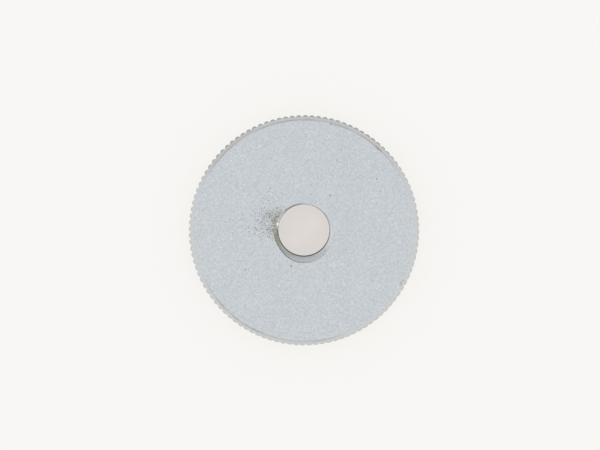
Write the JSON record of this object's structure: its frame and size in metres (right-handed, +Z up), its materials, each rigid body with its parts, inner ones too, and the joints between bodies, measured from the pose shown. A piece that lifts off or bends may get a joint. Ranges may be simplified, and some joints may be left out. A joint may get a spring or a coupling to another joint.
{
  "type": "knurled nut",
  "caption": "Flat round thumb nut with a straight-knurled rim, bevelled edges and a plain tapped hole through its middle, in zinc-plated steel.",
  "frame": {"origin": "middle of the lower face, on the axis of the tapped hole", "axes": "+Z up along the axis of the tapped hole; the nut lies flat on its lower face"},
  "size_m": [0.035, 0.035, 0.0063],
  "materials": {
    "zinc_plated_steel": "satin bluish zinc plating on steel"
  },
  "bodies": {
    "root": {"knurled_nut": "zinc_plated_steel"}
  },
  "joints": []
}
